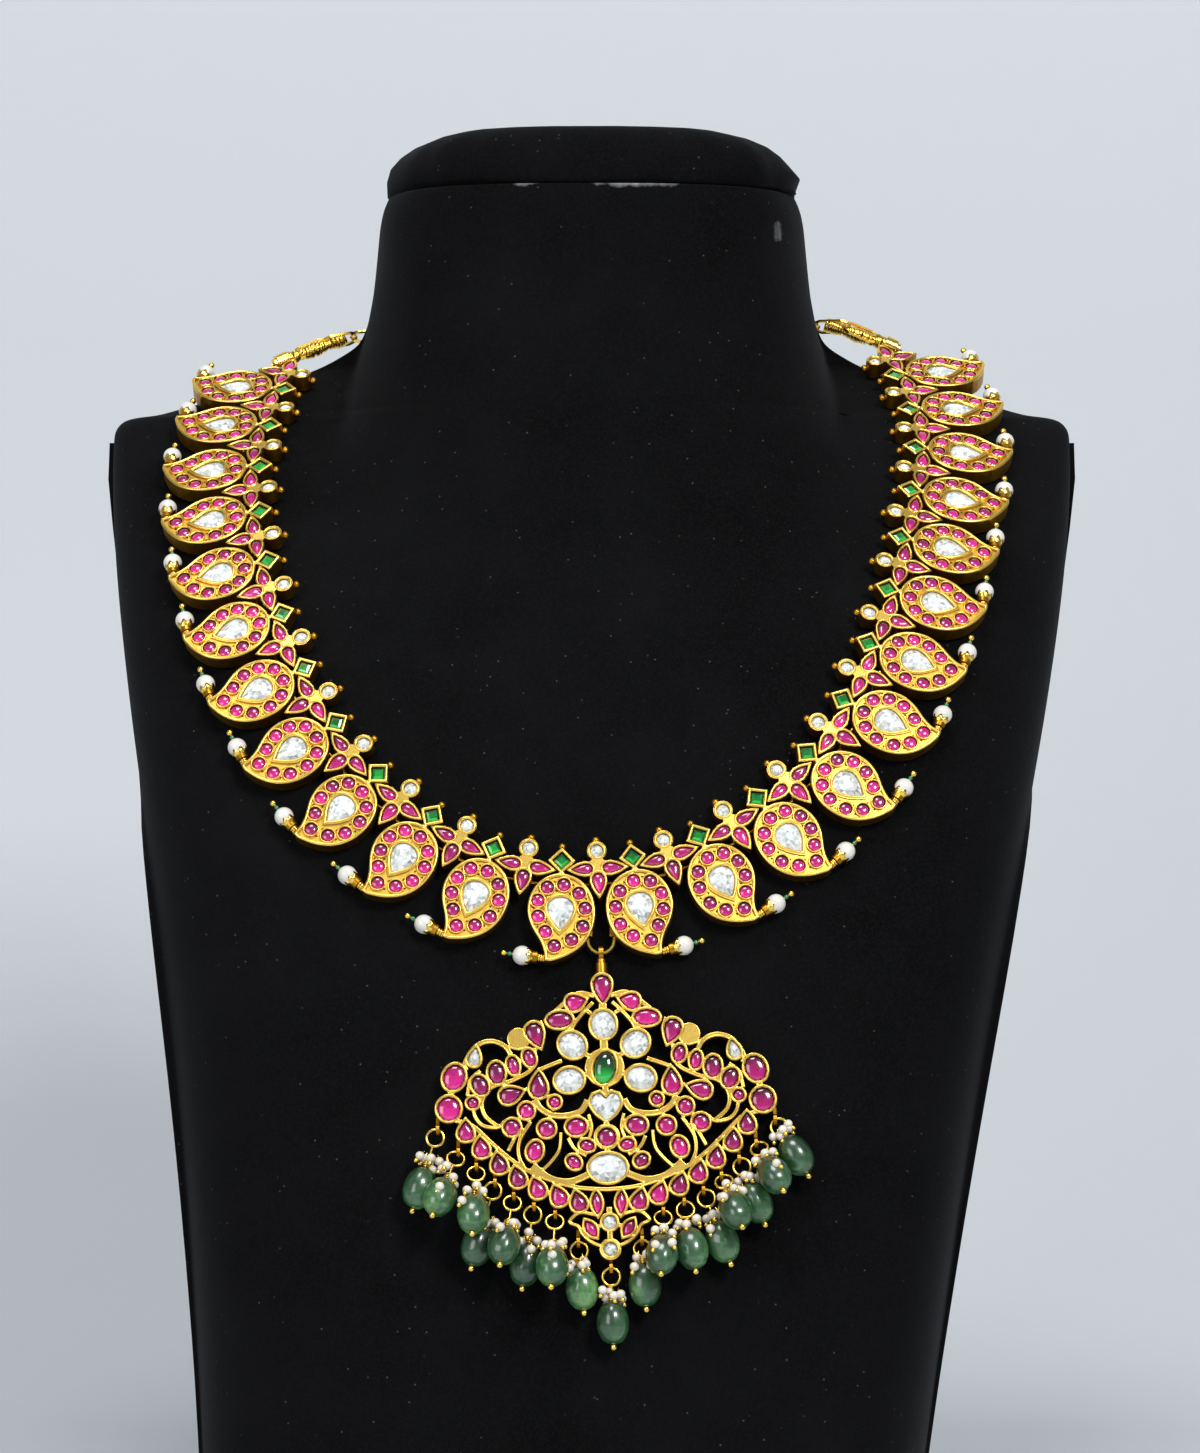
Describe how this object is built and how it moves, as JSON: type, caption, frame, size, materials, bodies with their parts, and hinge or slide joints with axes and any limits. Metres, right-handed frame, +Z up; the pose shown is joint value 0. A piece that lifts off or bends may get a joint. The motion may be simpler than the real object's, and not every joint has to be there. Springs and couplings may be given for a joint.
{
  "type": "kundan necklace on a velvet neck bust",
  "caption": "Gold kundan necklace of mango-shaped links with a pierced pendant and green drop beads, laid on a black velvet neck bust.",
  "frame": {"origin": "middle of the foot of the bounding box, on the bust's flat foot", "axes": "+Z up, the necklace and its pendant face -Y, +X to the viewer's right"},
  "size_m": [0.2681, 0.1656, 0.3666],
  "materials": {
    "gold": "satin",
    "velvet": "velvet pile",
    "ruby": "polished, foil behind",
    "kundan": "polished, silver foil behind",
    "emerald": "polished, foil behind",
    "pearl": "pearl lustre",
    "jade": "translucent, polished"
  },
  "bodies": {
    "necklace_on_bust": {"bust_form": "velvet", "bust_board": "velvet", "bust_cap": "velvet", "mango_l01": "gold", "mango_l02": "gold", "mango_l03": "gold", "mango_l04": "gold", "mango_l05": "gold", "mango_l06": "gold", "mango_l07": "gold", "mango_l08": "gold", "mango_l09": "gold", "mango_l10": "gold", "mango_l11": "gold", "mango_l12": "gold", "mango_r01": "gold", "mango_r02": "gold", "mango_r03": "gold", "mango_r04": "gold", "mango_r05": "gold", "mango_r06": "gold", "mango_r07": "gold", "mango_r08": "gold", "mango_r09": "gold", "mango_r10": "gold", "mango_r11": "gold", "mango_r12": "gold", "flower_links": "gold", "mango_kundans": "kundan", "square_emeralds": "emerald", "tip_pearls": "pearl", "stringing_wire": "gold", "chain_end_left": "gold", "chain_end_right": "gold", "back_chain": "gold", "clasp_hook": "gold", "centre_ring": "gold"},
    "pendant": {"pendant_frame": "gold", "pendant_kundans": "kundan", "pendant_emerald": "emerald", "pendant_rubies": "ruby", "drop_beads": "jade", "drop_wires": "gold"}
  },
  "joints": [
    {"name": "pendant_swing", "type": "hinge", "parent": "necklace_on_bust", "child": "pendant", "pos_m": [0.0025, -0.05046, 0.15098], "axis": [-1, 0, 0], "range_deg": [0, 75]}
  ]
}
